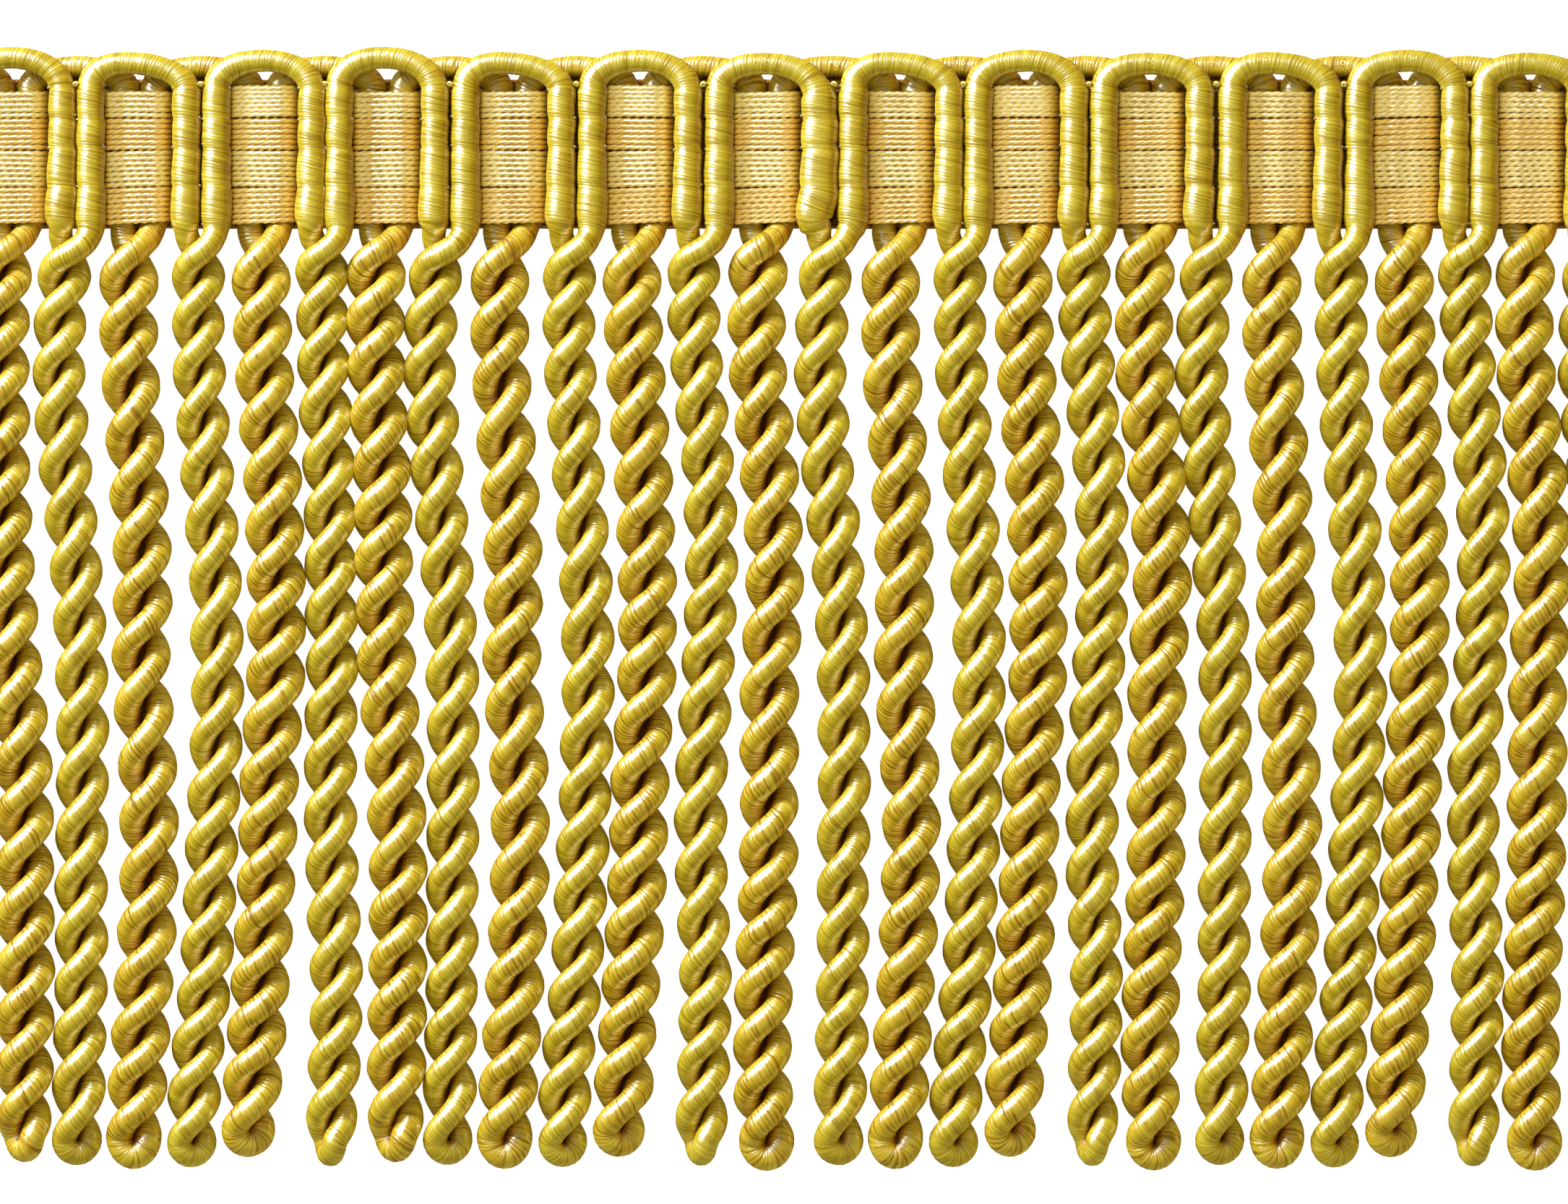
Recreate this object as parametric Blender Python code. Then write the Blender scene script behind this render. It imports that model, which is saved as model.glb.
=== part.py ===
# Bullion fringe trim with a looped heading, a cut length lying face up.
# Metres, +Z up. X runs along the trim, Y points to the heading, and the underside lies at Z = 0.
# The origin is under the middle of the outline.
#
# Two wrapped cords make the trim. Each runs up a leg, over an arch and down a leg, is let down and twisted
# on itself as a strand of the skirt, and goes up again. The back cord lies half a pitch along from the front
# one. Four bands of warp threads lie over the back cord's legs and under the front cord's legs.

import math
from collections import namedtuple

import bmesh
import bpy

MM = 0.001

# Driving dimensions
ARCH_COUNT = 13
ARCH_PITCH = 16.86 * MM
LEG_SPREAD = 12.8 * MM          # between the middles of an arch's two legs
CORD_WIDTH = 3.2 * MM
CORD_THICK = 3.2 * MM
STRAND_WIDTH = 6.4 * MM
STRAND_THICK = 6.9 * MM
BAND_THICK = 1.0 * MM
SEAT_GAP = 0.3 * MM             # between pieces that touch
STRAND_SIDES = 8
CORD_SIDES = 6
SHARP_FROM = math.radians(50)   # edges flatter than this are shaded smooth

# Drops are measured down the trim from the top of the highest arch
LEG_END_DROP = 24.5 * MM        # where the legs bend towards their strand
FOOT_DROP = 28.6 * MM           # where the cord ends inside its strand
FOOT_SPREAD = 0.8 * MM          # each side of the strand's middle
FOOT_SHIFT = 0.5 * MM           # towards the middle of the strand's thickness
STRAND_TOP_DROP = 25.8 * MM
STRAND_TOP_SIZE = 0.5           # of the strand's full width and thickness
TIP_ROUNDING = 2.2 * MM
TIP_SIZE = 0.45

# A band crosses each window high, over the back legs, and dips low under the front legs
BAND_HIGH_REACH = 2.9 * MM      # each side of a window's middle
BAND_LOW_REACH = 5.4 * MM
BAND_END_REACH = 8.5 * MM       # past the middle of the last window
BAND_DIP = 1.3 * MM

BACK_LEVEL = CORD_THICK / 2
FRONT_LEVEL = CORD_THICK + SEAT_GAP + CORD_THICK / 2
BAND_HIGH = CORD_THICK + SEAT_GAP

Band = namedtuple("Band", "name material top bottom")
BANDS = (                       # drops of the edges, mm
    Band("cream_band_upper", "cream_thread", 6.3, 9.3),
    Band("tan_band_upper", "tan_thread", 9.6, 13.3),
    Band("cream_band_lower", "cream_thread", 13.6, 18.4),
    Band("tan_band_lower", "tan_thread", 18.7, 23.2),
)

Window = namedtuple("Window", "shift sink")
WINDOWS = (                     # mm, from an even row: along the trim, and down it at the arch's crown
    Window(0.0, 0.0),
    Window(-0.3, 0.7),
    Window(-0.4, 0.4),
    Window(-0.9, 0.0),
    Window(-0.9, 0.7),
    Window(-0.9, 0.4),
    Window(-0.8, 0.8),
    Window(0.2, 0.7),
    Window(0.0, 0.4),
    Window(-0.1, 0.8),
    Window(0.2, 0.7),
    Window(0.2, 0.4),
    Window(0.0, 0.8),
)
BACK_SINK = 1.2                 # mm, the back arches' crowns
CROWN_DROP = 1.75
SPRING_DROP = 6.0

ArchPoint = namedtuple("ArchPoint", "name across drop")
ARCH_SHAPE = (                  # part of the way from leg to leg, and drop in mm
    ArchPoint("left spring", 0.0, 5.6),
    ArchPoint("left shoulder", 0.09, 3.3),
    ArchPoint("left crown", 0.34, CROWN_DROP),
    ArchPoint("right crown", 0.63, 1.9),
    ArchPoint("right shoulder", 0.91, 4.0),
    ArchPoint("right spring", 1.0, SPRING_DROP),
)
LEFT_CUT, RIGHT_CUT = 3, 3      # where the back arch's points are cut off at each end of the trim

# How a strand lies: its middle, in mm along the trim from its place in an even row, at each of these drops
LAY_DROPS = (29.4, 42.9, 56.4, 69.9, 83.3, 96.8, 110.3, 123.8, 137.3)
STRAIGHT_WITHIN = 0.25          # mm
Lay = namedtuple("Lay", "path end tip_drop")
LAYS = {
    "a": Lay((-1.9, -2.0, -1.9, -1.3, -0.2, 1.2, 1.3, 1.4, 1.2), 1.3, 148.9),
    "b": Lay((-2.0, -2.8, -1.7, -0.2, 0.5, 0.6, 0.4, 0.4, 0.1), -0.2, 149.3),
    "c": Lay((-1.8, -1.6, -0.5, 0.3, -0.1, 1.0, 1.1, 0.4, -0.4), -1.0, 149.8),
    "d": Lay((-0.9, -0.8, 0.3, 1.4, 1.8, 1.4, 0.8, 0.2, -1.3), -1.7, 149.6),
    "e": Lay((-1.0, -0.5, 0.6, 1.2, 1.2, 0.2, -0.1, -0.9, -1.9), -2.6, 148.2),
    "f": Lay((-1.4, -0.7, 1.0, 1.4, 0.8, -0.1, -0.1, 0.6, 0.2), -0.1, 149.5),
    "g": Lay((-1.3, -1.0, -0.2, 0.0, 0.2, -0.2, 0.1, 0.8, 0.4), -0.1, 149.5),
    "h": Lay((-1.5, -1.3, -0.5, -0.3, 0.1, 1.3, 1.7, 1.6, 1.4), 1.3, 148.9),
    "i": Lay((-2.2, -2.2, -0.5, 0.4, -0.5, -0.5, -0.6, -1.2, -1.5), -0.9, 150.0),
}
Run = namedtuple("Run", "lays shift")
RUNS = (                        # neighbouring strands from left to right, and their common shift in mm
    Run("g", -1.0),
    Run("abcdeg", 0.0),
    Run("hbcdef", -1.1),
    Run("i", 0.0),
    Run("bcdef", 0.5),
    Run("i", 1.1),
    Run("bcdef", 0.8),
    Run("i", 1.3),
    Run("b", 1.3),
)

MATERIALS = {                   # base colour, roughness
    "front_cord": ((0.60, 0.50, 0.12, 1), 0.45),
    "back_cord": ((0.58, 0.38, 0.06, 1), 0.5),
    "cream_thread": ((0.80, 0.66, 0.36, 1), 0.4),
    "tan_thread": ((0.72, 0.45, 0.20, 1), 0.4),
}


def clear_scene():
    for obj in list(bpy.data.objects):
        bpy.data.objects.remove(obj, do_unlink=True)


def make_material(name):
    colour, roughness = MATERIALS[name]
    material = bpy.data.materials.new(name)
    material.use_nodes = True
    shader = material.node_tree.nodes["Principled BSDF"]
    shader.inputs["Base Color"].default_value = colour
    shader.inputs["Roughness"].default_value = roughness
    shader.inputs["Metallic"].default_value = 0.0
    return material


def window_middle(index):
    # Past the ends, the window that would come next
    inside = min(max(index, 0), ARCH_COUNT - 1)
    return (index - ARCH_COUNT // 2) * ARCH_PITCH + WINDOWS[inside].shift * MM


def strand_table():
    rows = []
    for run in RUNS:
        for lay in run.lays:
            rows.append((LAYS[lay], run.shift * MM))
    return rows


def strand_place(number):
    # Even numbers are the front cord's strands and odd ones the back cord's
    return (number - ARCH_COUNT) * ARCH_PITCH / 2


def ring(middle, along, half_width, half_thick, sides):
    # A polygon across the cord with a flat side down and one up; along is the cord's direction in plan.
    # With eight sides it has flat sides left and right too, and with six it has corners there.
    mid_x, mid_y, mid_z = middle
    length = math.hypot(*along)
    across = (along[1] / length, -along[0] / length)
    half_turn = math.pi / sides
    lift = half_thick / math.cos(half_turn)
    reach = half_width / math.cos(half_turn) if sides % 4 == 0 else half_width
    points = []
    for side in range(sides):
        angle = half_turn * (2 * side + 1) - math.pi / 2
        out = math.cos(angle) * reach
        up = math.sin(angle) * lift
        points.append((mid_x + across[0] * out, mid_y + across[1] * out, mid_z + up))
    return points


def add_tube(bm, stations, sides):
    # Each station is a middle point, a half width and a half thickness
    rings = []
    for index, (middle, half_width, half_thick) in enumerate(stations):
        before = stations[max(index - 1, 0)][0]
        after = stations[min(index + 1, len(stations) - 1)][0]
        along = (after[0] - before[0], after[1] - before[1])
        rings.append([bm.verts.new(p) for p in ring(middle, along, half_width, half_thick, sides)])
    for low, high in zip(rings, rings[1:]):
        for side in range(sides):
            following = (side + 1) % sides
            bm.faces.new((low[side], low[following], high[following], high[side]))
    bm.faces.new(rings[0])
    bm.faces.new(rings[-1])


def add_object(name, bm, material):
    bmesh.ops.recalc_face_normals(bm, faces=bm.faces)
    mesh = bpy.data.meshes.new(name)
    bm.to_mesh(mesh)
    bm.free()
    mesh.shade_smooth()
    mesh.set_sharp_from_angle(angle=SHARP_FROM)
    obj = bpy.data.objects.new(name, mesh)
    mesh.materials.append(material)
    bpy.context.scene.collection.objects.link(obj)
    return obj


def join_with(obj, guide):
    guide.hide_render = True
    guide.display_type = "WIRE"
    union = obj.modifiers.new(guide.name, "BOOLEAN")
    union.operation = "UNION"
    union.object = guide


def bends(path):
    # The stations where a strand bends: one that lies in line with its neighbours is left out
    kept = [0]
    for index in range(1, len(path) - 1):
        if abs(path[index] - (path[kept[-1]] + path[index + 1]) / 2) > STRAIGHT_WITHIN:
            kept.append(index)
    return kept + [len(path) - 1]


def strand_stations(number, strands):
    lay, shift = strands[number]
    start = strand_place(number) + shift
    middle = STRAND_THICK / 2
    first = start + lay.path[0] * MM
    top = (first + strand_place(number)) / 2
    stations = [((top, -STRAND_TOP_DROP, middle), STRAND_TOP_SIZE * STRAND_WIDTH / 2, STRAND_TOP_SIZE * middle)]
    for index in bends(lay.path):
        place = (start + lay.path[index] * MM, -LAY_DROPS[index] * MM, middle)
        stations.append((place, STRAND_WIDTH / 2, middle))
    tip_x = start + lay.end * MM
    tip = lay.tip_drop * MM
    stations.append(((tip_x, TIP_ROUNDING - tip, middle), STRAND_WIDTH / 2, middle))
    stations.append(((tip_x, -tip, middle), TIP_SIZE * STRAND_WIDTH / 2, TIP_SIZE * middle))
    return stations


def arch_stations(left_leg, right_leg, sink, level, left_foot, right_foot, first=0, last=len(ARCH_SHAPE)):
    # From the left foot over the arch to the right foot; a foot of None leaves that leg out
    half_width = CORD_WIDTH / 2
    half_thick = CORD_THICK / 2
    foot_level = level + math.copysign(FOOT_SHIFT, STRAND_THICK / 2 - level)
    points = []
    if left_foot is not None:
        points.append((left_foot - FOOT_SPREAD, -FOOT_DROP, foot_level))
        points.append((left_leg, -LEG_END_DROP, level))
    for point in ARCH_SHAPE[first:last]:
        # The crown sinks most and the springs stay
        share = (SPRING_DROP - point.drop) / (SPRING_DROP - CROWN_DROP)
        drop = (point.drop + share * sink) * MM
        points.append((left_leg + point.across * (right_leg - left_leg), -drop, level))
    if right_foot is not None:
        points.append((right_leg, -LEG_END_DROP, level))
        points.append((right_foot + FOOT_SPREAD, -FOOT_DROP, foot_level))
    return [(point, half_width, half_thick) for point in points]


def foot_place(number, strands):
    lay, shift = strands[number]
    return strand_place(number) + shift + lay.path[0] * MM


def make_cord(name, numbers, arches, material, strands):
    bm = bmesh.new()
    for number in numbers:
        add_tube(bm, strand_stations(number, strands), STRAND_SIDES)
    cord = add_object(name, bm, material)
    # Neighbouring arches share a strand, so every second arch goes into its own guide
    for turn, word in enumerate(("first", "second")):
        bm = bmesh.new()
        for stations in arches[turn::2]:
            add_tube(bm, stations, CORD_SIDES)
        join_with(cord, add_object(f"{name}_{word}_arches", bm, material))
    return cord


def make_front_cord(strands):
    arches = []
    for index, window in enumerate(WINDOWS):
        middle = window_middle(index)
        arches.append(arch_stations(
            middle - LEG_SPREAD / 2, middle + LEG_SPREAD / 2, window.sink, FRONT_LEVEL,
            foot_place(2 * index, strands), foot_place(2 * index + 2, strands),
        ))
    numbers = range(0, 2 * ARCH_COUNT + 1, 2)
    return make_cord("front_cord", numbers, arches, make_material("front_cord"), strands)


def make_back_cord(strands):
    # Two back legs stand in each window, each belonging to the arch on its own side
    leg_offset = (ARCH_PITCH - LEG_SPREAD) / 2
    arches = []
    for index in range(-1, ARCH_COUNT):
        left_leg = window_middle(index) + leg_offset
        right_leg = window_middle(index + 1) - leg_offset
        if index == -1:
            arches.append(arch_stations(left_leg, right_leg, BACK_SINK, BACK_LEVEL, None,
                                        foot_place(1, strands), first=LEFT_CUT))
        elif index == ARCH_COUNT - 1:
            arches.append(arch_stations(left_leg, right_leg, BACK_SINK, BACK_LEVEL,
                                        foot_place(2 * index + 1, strands), None, last=RIGHT_CUT))
        else:
            arches.append(arch_stations(left_leg, right_leg, BACK_SINK, BACK_LEVEL,
                                        foot_place(2 * index + 1, strands), foot_place(2 * index + 3, strands)))
    numbers = range(1, 2 * ARCH_COUNT, 2)
    return make_cord("back_cord", numbers, arches, make_material("back_cord"), strands)


def band_profile():
    low = BAND_HIGH - BAND_DIP
    steps = (
        (-BAND_LOW_REACH, low),
        (-BAND_HIGH_REACH, BAND_HIGH),
        (BAND_HIGH_REACH, BAND_HIGH),
        (BAND_LOW_REACH, low),
    )
    profile = [(window_middle(0) - BAND_END_REACH, low)]
    for index in range(ARCH_COUNT):
        profile += [(window_middle(index) + reach, height) for reach, height in steps]
    profile.append((window_middle(ARCH_COUNT - 1) + BAND_END_REACH, low))
    return profile


def make_band(band):
    bm = bmesh.new()
    upper = -band.top * MM
    lower = -band.bottom * MM
    rows = []
    for x, under in band_profile():
        over = under + BAND_THICK
        corners = ((upper, under), (lower, under), (lower, over), (upper, over))
        rows.append([bm.verts.new((x, y, z)) for y, z in corners])
    for low, high in zip(rows, rows[1:]):
        for side in range(4):
            following = (side + 1) % 4
            bm.faces.new((low[side], low[following], high[following], high[side]))
    bm.faces.new(rows[0])
    bm.faces.new(rows[-1])
    material = bpy.data.materials.get(band.material) or make_material(band.material)
    return add_object(band.name, bm, material)


def centre_outline(pieces):
    # Brings the middle of the trim's outline to the origin
    depsgraph = bpy.context.evaluated_depsgraph_get()
    xs = []
    ys = []
    for piece in pieces:
        evaluated = piece.evaluated_get(depsgraph)
        mesh = evaluated.to_mesh()
        xs += [vertex.co.x for vertex in mesh.vertices]
        ys += [vertex.co.y for vertex in mesh.vertices]
        evaluated.to_mesh_clear()
    trim = bpy.data.objects.new("trim", None)
    bpy.context.scene.collection.objects.link(trim)
    trim.location = (-(min(xs) + max(xs)) / 2, -(min(ys) + max(ys)) / 2, 0)
    for obj in bpy.context.scene.collection.objects:
        if obj is not trim:
            obj.parent = trim


clear_scene()
strand_rows = strand_table()
pieces = [make_front_cord(strand_rows), make_back_cord(strand_rows)]
pieces += [make_band(band) for band in BANDS]
centre_outline(pieces)
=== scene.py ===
# Bullion fringe trim, lying face up: two wrapped cords, four bands of thread, and the stage they lie on.
import math

import bpy
import numpy as np
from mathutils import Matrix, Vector


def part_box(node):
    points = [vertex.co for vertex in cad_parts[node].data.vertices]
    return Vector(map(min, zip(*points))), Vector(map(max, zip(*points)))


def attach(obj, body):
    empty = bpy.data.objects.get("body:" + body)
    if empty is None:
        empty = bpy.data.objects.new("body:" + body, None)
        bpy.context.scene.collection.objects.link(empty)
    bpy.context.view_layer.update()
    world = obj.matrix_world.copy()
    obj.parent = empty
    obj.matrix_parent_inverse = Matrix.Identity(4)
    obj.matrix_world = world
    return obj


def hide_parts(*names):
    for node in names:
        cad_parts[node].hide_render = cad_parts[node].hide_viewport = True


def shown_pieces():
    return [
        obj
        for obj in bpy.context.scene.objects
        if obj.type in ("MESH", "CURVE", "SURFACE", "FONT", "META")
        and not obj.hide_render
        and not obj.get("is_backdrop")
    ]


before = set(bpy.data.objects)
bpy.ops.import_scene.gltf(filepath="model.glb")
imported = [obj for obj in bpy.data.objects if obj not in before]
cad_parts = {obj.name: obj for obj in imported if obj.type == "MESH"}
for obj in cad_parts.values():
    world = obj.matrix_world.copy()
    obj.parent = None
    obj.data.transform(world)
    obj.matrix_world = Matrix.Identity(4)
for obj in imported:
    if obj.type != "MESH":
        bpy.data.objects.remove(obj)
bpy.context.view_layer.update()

mm = 0.001

# How the trim is laid out, in mm. "along" runs from the middle of the trim and "drop" down from its top.
trim = {
    "archCount": 13,
    "archPitch": 16.86,
    "legSpread": 12.8,           # between the middles of an arch's two legs
    "bandEndReach": 8.5,         # the bands go on this far past the last windows' middles
    "firstBandDrop": 6.3,
    "windowShift": (0, -0.3, -0.4, -0.9, -0.9, -0.9, -0.8, 0.2, 0, -0.1, 0.2, 0.2, 0),
    "archSink": (0, 0.7, 0.4, 0, 0.7, 0.4, 0.8, 0.7, 0.4, 0.8, 0.7, 0.4, 0.8),
}


def insideWindow(index):
    return min(max(index, 0), trim["archCount"] - 1)


def windowMiddle(index):
    # Beyond the last windows the row goes on at the same pitch
    return (index - trim["archCount"] // 2) * trim["archPitch"] + trim["windowShift"][insideWindow(index)]


bandLow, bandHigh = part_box("cream_band_upper")
trimMiddle = bandLow.x / mm + trim["bandEndReach"] - windowMiddle(0)
trimTop = bandHigh.y / mm + trim["firstBandDrop"]
print("layout read from the frame: middle", round(trimMiddle, 2), "top", round(trimTop, 2), "mm")


# CAMERA, FLOOR AND LIGHT
studio = {
    "lens": 200,
    "sensor": 36,
    "viewWidth": 209.06,         # mm of the trim across the picture
    "viewMiddle": (1.70, 1.10),  # mm from the origin
    "viewLevel": 4.5,            # mm above the floor, where that width holds
    "clip": (0.01, 20),
    "floorSize": 3.0,            # m
    "floorTone": (0.92, 0.92, 0.915, 1),
    "floorRoughness": 0.9,
    "floorSpecular": 0.1,
    "floorGlow": 0.9,
    "sky": (1.0, 0.98, 0.94, 1),
    "skyStrength": 0.08,
    "lamps": {
        "shineLamp": {"place": (-0.82, 0.80, 0.62), "size": 0.8, "power": 68, "tone": (1.0, 1.0, 0.98)},
        "rakeLamp": {"place": (-0.78, 0.84, 0.58), "size": 0.50, "power": 25, "tone": (1.0, 0.99, 0.96)},
        "bandLamp": {"place": (-0.08, 0.42, 1.10), "size": 0.45, "power": 14, "tone": (1.0, 0.98, 0.94)},
        "keyLamp": {"place": (-0.30, 0.35, 1.10), "size": 1.5, "power": 6, "tone": (1.0, 0.98, 0.94)},
        "fillLamp": {"place": (0.60, -0.55, 0.80), "size": 1.0, "power": 4, "tone": (1.0, 0.84, 0.55)},
    },
}


def placeCamera():
    distance = studio["viewWidth"] * studio["lens"] / studio["sensor"]
    across, up = studio["viewMiddle"]
    bpy.ops.object.camera_add(location=(across * mm, up * mm, (distance + studio["viewLevel"]) * mm))
    camera = bpy.context.object
    camera.name = "camera"
    camera.rotation_euler = (0, 0, 0)
    camera.data.lens = studio["lens"]
    camera.data.sensor_width = studio["sensor"]
    camera.data.clip_start, camera.data.clip_end = studio["clip"]
    bpy.context.scene.camera = camera


def addLamp(name, place, size, power, tone):
    bpy.ops.object.light_add(type="AREA", location=place)
    lamp = bpy.context.object
    lamp.name = name
    lamp.rotation_euler = (-Vector(place)).to_track_quat("-Z", "Y").to_euler()
    lamp.data.shape = "DISK"
    lamp.data.size = size
    lamp.data.energy = power
    lamp.data.color = tone
    return lamp


def lampReaches(lamp, pieces, state):
    # A lamp that INCLUDEs pieces lights nothing else, and one that EXCLUDEs them lights all the rest
    group = bpy.data.collections.new(lamp.name + "Pieces")
    lamp.light_linking.receiver_collection = group
    for place, piece in enumerate(pieces):
        group.objects.link(piece)
        group.collection_objects[place].light_linking.link_state = state


def makeFloor():
    bpy.ops.mesh.primitive_plane_add(size=studio["floorSize"], location=(0, 0, 0))
    floor = bpy.context.object
    floor.name = "floor"
    floor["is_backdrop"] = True
    paint = bpy.data.materials.new("floorPaint")
    paint.use_nodes = True
    shader = paint.node_tree.nodes["Principled BSDF"]
    shader.inputs["Base Color"].default_value = studio["floorTone"]
    shader.inputs["Roughness"].default_value = studio["floorRoughness"]
    shader.inputs["Specular IOR Level"].default_value = studio["floorSpecular"]
    shader.inputs["Emission Color"].default_value = (1, 1, 1, 1)
    shader.inputs["Emission Strength"].default_value = studio["floorGlow"]
    floor.data.materials.append(paint)
    # The floor glows for the camera, and its glow lights nothing, because its list of receivers is empty
    floor.light_linking.receiver_collection = bpy.data.collections.new("litByFloor")
    return floor


def makeSky():
    world = bpy.data.worlds.new("studioSky")
    bpy.context.scene.world = world
    world.use_nodes = True
    background = world.node_tree.nodes["Background"]
    background.inputs["Color"].default_value = studio["sky"]
    background.inputs["Strength"].default_value = studio["skyStrength"]
    return world


def makeStage():
    floor = makeFloor()
    world = makeSky()
    lamps = {name: addLamp(name, **settings) for name, settings in studio["lamps"].items()}
    # The shine lamp gives gloss only, and only it and the band lamp are seen in the gloss
    lamps["shineLamp"].visible_diffuse = False
    for thing in (floor, lamps["rakeLamp"], lamps["keyLamp"], lamps["fillLamp"]):
        thing.visible_glossy = False
    world.cycles_visibility.glossy = False
    bpy.context.scene.view_settings.view_transform = "Standard"
    return lamps


placeCamera()
lamps = makeStage()
print("camera and stage ready")


# MATERIALS
def addNode(tree, kind, values=None, **settings):
    node = tree.nodes.new(kind)
    for key, value in settings.items():
        setattr(node, key, value)
    for socket, value in (values or {}).items():
        node.inputs[socket].default_value = value
    return node


def feed(tree, source, target, socket, output=0):
    tree.links.new(source.outputs[output], target.inputs[socket])


def mathNode(tree, operation, first, second=None, third=None):
    # Each operand is a node, a (node, output) pair or a plain number
    node = addNode(tree, "ShaderNodeMath", operation=operation)
    for place, operand in enumerate((first, second, third)):
        if operand is None:
            continue
        if isinstance(operand, (int, float)):
            node.inputs[place].default_value = operand
        elif isinstance(operand, tuple):
            feed(tree, operand[0], node, place, operand[1])
        else:
            feed(tree, operand, node, place)
    return node


def scaled(tree, operand, factor):
    return mathNode(tree, "MULTIPLY", operand, factor)


def wave(tree, kind, turns):
    # Sine or cosine of a number of whole turns
    return mathNode(tree, kind, scaled(tree, turns, 2 * math.pi))


def addNoise(tree, place, look, roughness, **settings):
    values = {"Scale": 1, "Detail": look["noiseDetail"], "Roughness": roughness}
    noise = addNode(tree, "ShaderNodeTexNoise", values, **settings)
    feed(tree, place, noise, "Vector")
    return noise


def addRamp(tree, stops, source, output=0):
    ramp = addNode(tree, "ShaderNodeValToRGB")
    marks = ramp.color_ramp.elements
    while len(marks) < len(stops):
        marks.new(0.5)
    for mark, (place, tone) in zip(marks, stops):
        mark.position = place
        mark.color = (*tone, 1)
    feed(tree, source, ramp, "Fac", output)
    return ramp


def addBump(tree, shader, height, look):
    values = {"Strength": look["bumpStrength"], "Distance": look["bumpDepth"] * mm}
    bump = addNode(tree, "ShaderNodeBump", values)
    feed(tree, height, bump, "Height")
    feed(tree, bump, shader, "Normal")


def tubePlace(tree, turns, reach, along):
    # A place on a tube, from whole turns round it, its radius and the way along it
    joined = addNode(tree, "ShaderNodeCombineXYZ")
    feed(tree, scaled(tree, wave(tree, "COSINE", turns), reach), joined, 0)
    feed(tree, scaled(tree, wave(tree, "SINE", turns), reach), joined, 1)
    feed(tree, along, joined, 2)
    return joined


def splitCoordinates(tree):
    # The piece's own UV: once round it, and mm along it
    place = addNode(tree, "ShaderNodeUVMap", uv_map="UVMap")
    split = addNode(tree, "ShaderNodeSeparateXYZ")
    feed(tree, place, split, 0)
    return split


def addCloud(tree, split, look):
    # Slow changes of tone, rolled into a tube so that nothing shows a seam
    place = tubePlace(tree, (split, 0), look["cloudAround"], scaled(tree, (split, 1), look["cloudAlong"]))
    return addNoise(tree, place, look, look["cloudRough"])


def addPaintedShade(tree, shader, tones, look):
    # Painted shade: places marked as shaded, between the plies, under a cord or thread and away from the
    # light, are painted darker, browner and more saturated, and shine less
    paintedShade = addNode(tree, "ShaderNodeAttribute", attribute_name="paintedShade")
    shade = addRamp(tree, look["paintedShadeTones"], paintedShade, "Fac")
    mixed = addNode(tree, "ShaderNodeMix", data_type="RGBA", blend_type="MULTIPLY")
    mixed.inputs["Factor"].default_value = 1
    # Inputs 6 and 7 and output 2 are the node's colours
    feed(tree, tones, mixed, 6)
    feed(tree, shade, mixed, 7)
    feed(tree, mixed, shader, "Base Color", 2)
    return mathNode(tree, "MULTIPLY_ADD", (paintedShade, 2), -look["specular"], look["specular"])


def addRoughness(tree, shader, source, look):
    spread = look["roughSpread"]
    rough = mathNode(tree, "MULTIPLY_ADD", source, spread, look["roughness"] - spread / 2)
    feed(tree, rough, shader, "Roughness")


def newMaterial(name, look):
    material = bpy.data.materials.new(name)
    material.use_nodes = True
    shader = material.node_tree.nodes["Principled BSDF"]
    shader.inputs["IOR"].default_value = look["index"]
    shader.inputs["Subsurface Weight"].default_value = look["glow"]
    shader.inputs["Subsurface Radius"].default_value = look["glowTint"]
    shader.inputs["Subsurface Scale"].default_value = look["glowReach"] * mm
    return material, material.node_tree, shader


def cordMaterial(name, look):
    material, tree, shader = newMaterial(name, look)
    split = splitCoordinates(tree)
    streaks = addCloud(tree, split, look)
    # The wrapping floss goes round and along by one lap, so its pattern closes on itself
    lap = mathNode(tree, "MULTIPLY_ADD", (split, 1), 1 / look["lap"], (split, 0))
    flossPlace = tubePlace(tree, lap, look["flossReach"], scaled(tree, (split, 1), look["flossDrift"]))
    noise = addNoise(tree, flossPlace, look, look["flossRough"], noise_dimensions="4D")
    feed(tree, scaled(tree, wave(tree, "COSINE", (split, 0)), look["flossFade"]), noise, "W")
    # Its ends lie side by side as low ridges
    ends = mathNode(tree, "MULTIPLY_ADD", streaks, look["endWander"], scaled(tree, lap, look["ends"]))
    floss = mathNode(tree, "MULTIPLY_ADD", wave(tree, "COSINE", ends), look["ridge"], noise)
    # The floss is darker where it lies lower: partly its own tone and partly painted shade in the grooves
    # between its ends
    streakPart = scaled(tree, streaks, 1 - look["flossShare"])
    value = mathNode(tree, "MULTIPLY_ADD", floss, look["flossShare"], streakPart)
    tones = addRamp(tree, look["tones"], value)
    addBump(tree, shader, floss, look)
    shine = addPaintedShade(tree, shader, tones, look)
    # The raised filaments glint and the gaps between them don't
    glint = mathNode(tree, "MULTIPLY_ADD", floss, look["glintRise"], 1 - 0.5 * look["glintRise"])
    glint.use_clamp = True
    feed(tree, mathNode(tree, "MULTIPLY", shine, glint), shader, "Specular IOR Level")
    addRoughness(tree, shader, streaks, look)
    shader.inputs["Specular Tint"].default_value = look["specularTint"]
    # The filaments lie round the cord, so its shine runs along it
    shader.inputs["Anisotropic"].default_value = look["shineRun"]
    shader.inputs["Anisotropic Rotation"].default_value = 0.25
    tangent = addNode(tree, "ShaderNodeTangent", direction_type="UV_MAP", uv_map="UVMap")
    feed(tree, tangent, shader, "Tangent")
    return material


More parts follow.
